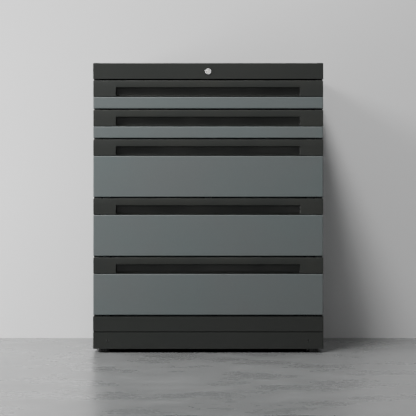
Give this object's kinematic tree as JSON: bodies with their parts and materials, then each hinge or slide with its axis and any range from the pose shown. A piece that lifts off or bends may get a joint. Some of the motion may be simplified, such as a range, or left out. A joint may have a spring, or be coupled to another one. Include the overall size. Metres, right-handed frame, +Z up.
{
  "type": "microscope slide cabinet",
  "caption": "Free-standing steel cabinet with full-extension drawers that file microscope slides in rows, scooped finger recesses and one lock for all drawers",
  "frame": {"origin": "on the floor, under the middle of the cabinet's outline", "axes": "+X to the right of someone facing the drawers, +Y from the drawer fronts to the back, +Z up"},
  "size_m": [0.6, 0.5832, 0.7546],
  "materials": {
    "dark_powder_coat": "charcoal powder coat, fine satin texture",
    "face_powder_coat": "blue-grey powder coat, fine satin texture",
    "tray_powder_coat": "grey powder coat",
    "divider_steel": "galvanised sheet",
    "grip_plastic": "charcoal moulded plastic, fine grain",
    "zinc_plated_steel": "bright zinc plate",
    "chrome_plate": "polished chrome plate",
    "nickel_plate": "satin nickel plate",
    "black_foot_plastic": "black nylon",
    "black_steel_screws": "black zinc"
  },
  "bodies": {
    "carcass": {"top_cover": "dark_powder_coat", "base_pan": "dark_powder_coat", "plinth_frame": "dark_powder_coat", "side_panel_left": "dark_powder_coat", "side_panel_right": "dark_powder_coat", "back_panel": "dark_powder_coat", "back_screws": "black_steel_screws", "plinth_screws": "black_steel_screws", "plinth_brackets": "zinc_plated_steel", "foot_nuts": "zinc_plated_steel", "runner_posts_front": "zinc_plated_steel", "runner_posts_back": "zinc_plated_steel", "shaft_bracket": "zinc_plated_steel", "bar_guides": "zinc_plated_steel", "lock_housing": "chrome_plate", "lock_nut": "zinc_plated_steel", "runner_outer_1": "zinc_plated_steel", "runner_outer_2": "zinc_plated_steel", "runner_outer_3": "zinc_plated_steel", "runner_outer_4": "zinc_plated_steel", "runner_outer_5": "zinc_plated_steel"},
    "drawer_1": {"drawer_1_face": "face_powder_coat", "drawer_1_grip": "grip_plastic", "drawer_1_tray": "tray_powder_coat", "drawer_1_dividers": "divider_steel", "runner_inner_1": "zinc_plated_steel"},
    "runner_1": {"runner_middle_1": "zinc_plated_steel"},
    "drawer_2": {"drawer_2_face": "face_powder_coat", "drawer_2_grip": "grip_plastic", "drawer_2_tray": "tray_powder_coat", "drawer_2_dividers": "divider_steel", "runner_inner_2": "zinc_plated_steel"},
    "runner_2": {"runner_middle_2": "zinc_plated_steel"},
    "drawer_3": {"drawer_3_face": "face_powder_coat", "drawer_3_grip": "grip_plastic", "drawer_3_tray": "tray_powder_coat", "drawer_3_dividers": "divider_steel", "runner_inner_3": "zinc_plated_steel"},
    "runner_3": {"runner_middle_3": "zinc_plated_steel"},
    "drawer_4": {"drawer_4_face": "face_powder_coat", "drawer_4_grip": "grip_plastic", "drawer_4_tray": "tray_powder_coat", "drawer_4_dividers": "divider_steel", "runner_inner_4": "zinc_plated_steel"},
    "runner_4": {"runner_middle_4": "zinc_plated_steel"},
    "drawer_5": {"drawer_5_face": "face_powder_coat", "drawer_5_grip": "grip_plastic", "drawer_5_tray": "tray_powder_coat", "drawer_5_dividers": "divider_steel", "runner_inner_5": "zinc_plated_steel"},
    "runner_5": {"runner_middle_5": "zinc_plated_steel"},
    "lock_turning": {"lock_plug": "nickel_plate", "lock_shaft": "zinc_plated_steel", "lock_crank": "zinc_plated_steel"},
    "lock_bar": {"lock_bar": "zinc_plated_steel"},
    "foot_front_left": {"foot_front_left": "black_foot_plastic"},
    "foot_front_right": {"foot_front_right": "black_foot_plastic"},
    "foot_back_left": {"foot_back_left": "black_foot_plastic"},
    "foot_back_right": {"foot_back_right": "black_foot_plastic"}
  },
  "joints": [
    {"name": "drawer_1_slide", "type": "slide", "parent": "carcass", "child": "drawer_1", "axis": [0, -1, 0], "range_m": [0, 0.5]},
    {"name": "runner_1_slide", "type": "slide", "parent": "carcass", "child": "runner_1", "axis": [0, -1, 0], "range_m": [0, 0.25]},
    {"name": "drawer_2_slide", "type": "slide", "parent": "carcass", "child": "drawer_2", "axis": [0, -1, 0], "range_m": [0, 0.5]},
    {"name": "runner_2_slide", "type": "slide", "parent": "carcass", "child": "runner_2", "axis": [0, -1, 0], "range_m": [0, 0.25]},
    {"name": "drawer_3_slide", "type": "slide", "parent": "carcass", "child": "drawer_3", "axis": [0, -1, 0], "range_m": [0, 0.5]},
    {"name": "runner_3_slide", "type": "slide", "parent": "carcass", "child": "runner_3", "axis": [0, -1, 0], "range_m": [0, 0.25]},
    {"name": "drawer_4_slide", "type": "slide", "parent": "carcass", "child": "drawer_4", "axis": [0, -1, 0], "range_m": [0, 0.5]},
    {"name": "runner_4_slide", "type": "slide", "parent": "carcass", "child": "runner_4", "axis": [0, -1, 0], "range_m": [0, 0.25]},
    {"name": "drawer_5_slide", "type": "slide", "parent": "carcass", "child": "drawer_5", "axis": [0, -1, 0], "range_m": [0, 0.5]},
    {"name": "runner_5_slide", "type": "slide", "parent": "carcass", "child": "runner_5", "axis": [0, -1, 0], "range_m": [0, 0.25]},
    {"name": "lock_turn", "type": "hinge", "parent": "carcass", "child": "lock_turning", "pos_m": [0, -0.2888, 0.7321], "axis": [0, 1, 0], "range_deg": [0, 90]},
    {"name": "lock_bar_slide", "type": "slide", "parent": "carcass", "child": "lock_bar", "axis": [0, 0, -1], "range_m": [0, 0.012]},
    {"name": "foot_front_left_turn", "type": "hinge", "parent": "carcass", "child": "foot_front_left", "pos_m": [-0.272, -0.2608, 0.005], "axis": [0, 0, 1], "continuous": true},
    {"name": "foot_front_right_turn", "type": "hinge", "parent": "carcass", "child": "foot_front_right", "pos_m": [0.272, -0.2608, 0.005], "axis": [0, 0, 1], "continuous": true},
    {"name": "foot_back_left_turn", "type": "hinge", "parent": "carcass", "child": "foot_back_left", "pos_m": [-0.272, 0.2632, 0.005], "axis": [0, 0, 1], "continuous": true},
    {"name": "foot_back_right_turn", "type": "hinge", "parent": "carcass", "child": "foot_back_right", "pos_m": [0.272, 0.2632, 0.005], "axis": [0, 0, 1], "continuous": true}
  ],
  "couplings": [
    {"joint": "runner_1_slide", "follows": "drawer_1_slide", "ratio": 0.5},
    {"joint": "runner_2_slide", "follows": "drawer_2_slide", "ratio": 0.5},
    {"joint": "runner_3_slide", "follows": "drawer_3_slide", "ratio": 0.5},
    {"joint": "runner_4_slide", "follows": "drawer_4_slide", "ratio": 0.5},
    {"joint": "runner_5_slide", "follows": "drawer_5_slide", "ratio": 0.5},
    {"joint": "lock_turn", "follows": "lock_bar_slide", "rad_per_m": 130.89}
  ]
}
